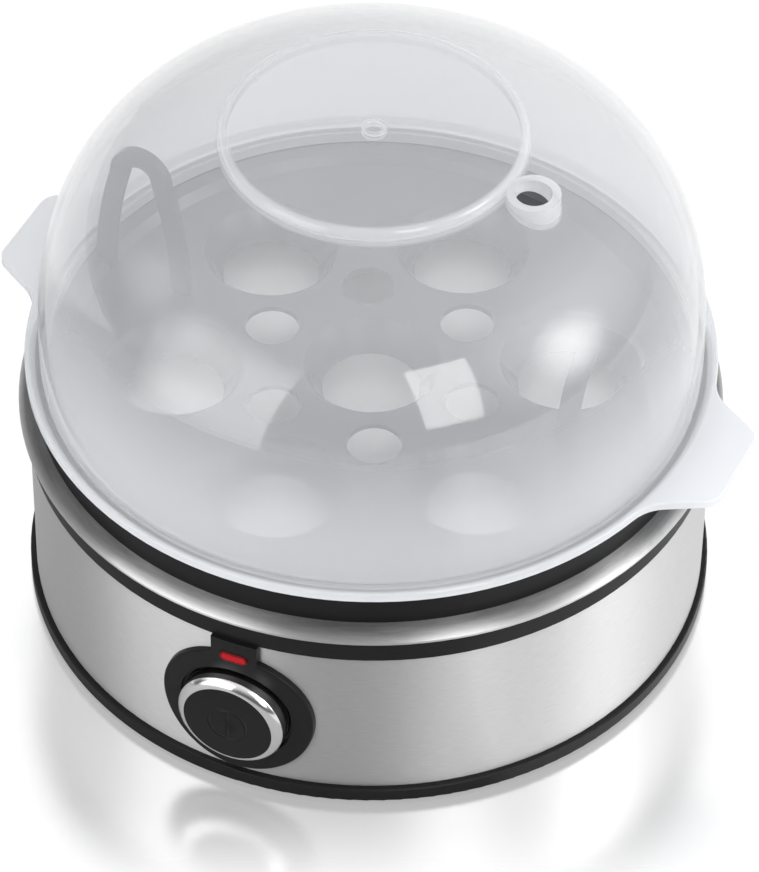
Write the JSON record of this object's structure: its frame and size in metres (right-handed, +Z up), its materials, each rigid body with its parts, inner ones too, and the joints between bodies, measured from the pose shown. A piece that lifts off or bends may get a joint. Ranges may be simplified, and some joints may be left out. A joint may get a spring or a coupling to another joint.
{
  "type": "electric egg cooker",
  "caption": "Round electric egg cooker with a brushed steel body, a clear domed lid, a lift-out egg tray with two loop handles and a push button with a lamp.",
  "frame": {"origin": "the middle of the cooker at the height of the table it stands on", "axes": "+Z up through the middle of the lid, -Y to the push button, +X to the right-hand ear of the lid as seen from the button"},
  "size_m": [0.21, 0.1952, 0.153],
  "materials": {
    "black_plastic": "fine satin moulding",
    "grey_plastic": "satin moulding",
    "clear_plastic": "clear, faintly smoky gloss moulding",
    "red_plastic": "clear red lens",
    "pale_plastic": "plain moulding",
    "lamp_glass": "clear",
    "brushed_sleeve": "brushed round the sleeve",
    "bright_steel": "smooth satin",
    "chrome": "polished",
    "screw_steel": "bright plated",
    "cast_aluminium": "plain drawn tube",
    "rubber": "matt"
  },
  "bodies": {
    "base": {"base_pan": "black_plastic", "rubber_feet": "rubber", "base_screws": "screw_steel", "sleeve": "brushed_sleeve", "trim_ring": "black_plastic", "bead": "bright_steel", "collar": "black_plastic", "collar_screws": "screw_steel", "bowl": "bright_steel", "switch_plate": "black_plastic", "button_spring": "screw_steel", "indicator_lens": "red_plastic", "lamp_holder": "pale_plastic", "neon_lamp": "lamp_glass", "switch_body": "pale_plastic", "switch_cradle": "black_plastic", "heating_element": "cast_aluminium", "element_pins": "screw_steel", "thermostat": "pale_plastic", "thermostat_strap": "screw_steel", "stud_nuts": "screw_steel", "thermal_fuse": "screw_steel", "lead_inlet": "black_plastic", "inlet_nut": "black_plastic", "terminal_block": "pale_plastic", "terminal_screws": "screw_steel"},
    "button": {"button_ring": "chrome", "button_cap": "black_plastic", "switch_plunger": "pale_plastic"},
    "tray": {"egg_tray": "grey_plastic"},
    "lid": {"lid": "clear_plastic"}
  },
  "joints": [
    {"name": "button_press", "type": "slide", "parent": "base", "child": "button", "axis": [0, 1, 0], "range_m": [0, 0.0025], "stiffness_N_per_m": 900, "springref_m": -0.002, "deforming": ["button_spring"]},
    {"name": "tray_lift", "type": "slide", "parent": "base", "child": "tray", "axis": [0, 0, 1], "range_m": [0, 0.06]},
    {"name": "lid_lift", "type": "slide", "parent": "tray", "child": "lid", "axis": [0, 0, 1], "range_m": [0, 0.09]}
  ]
}
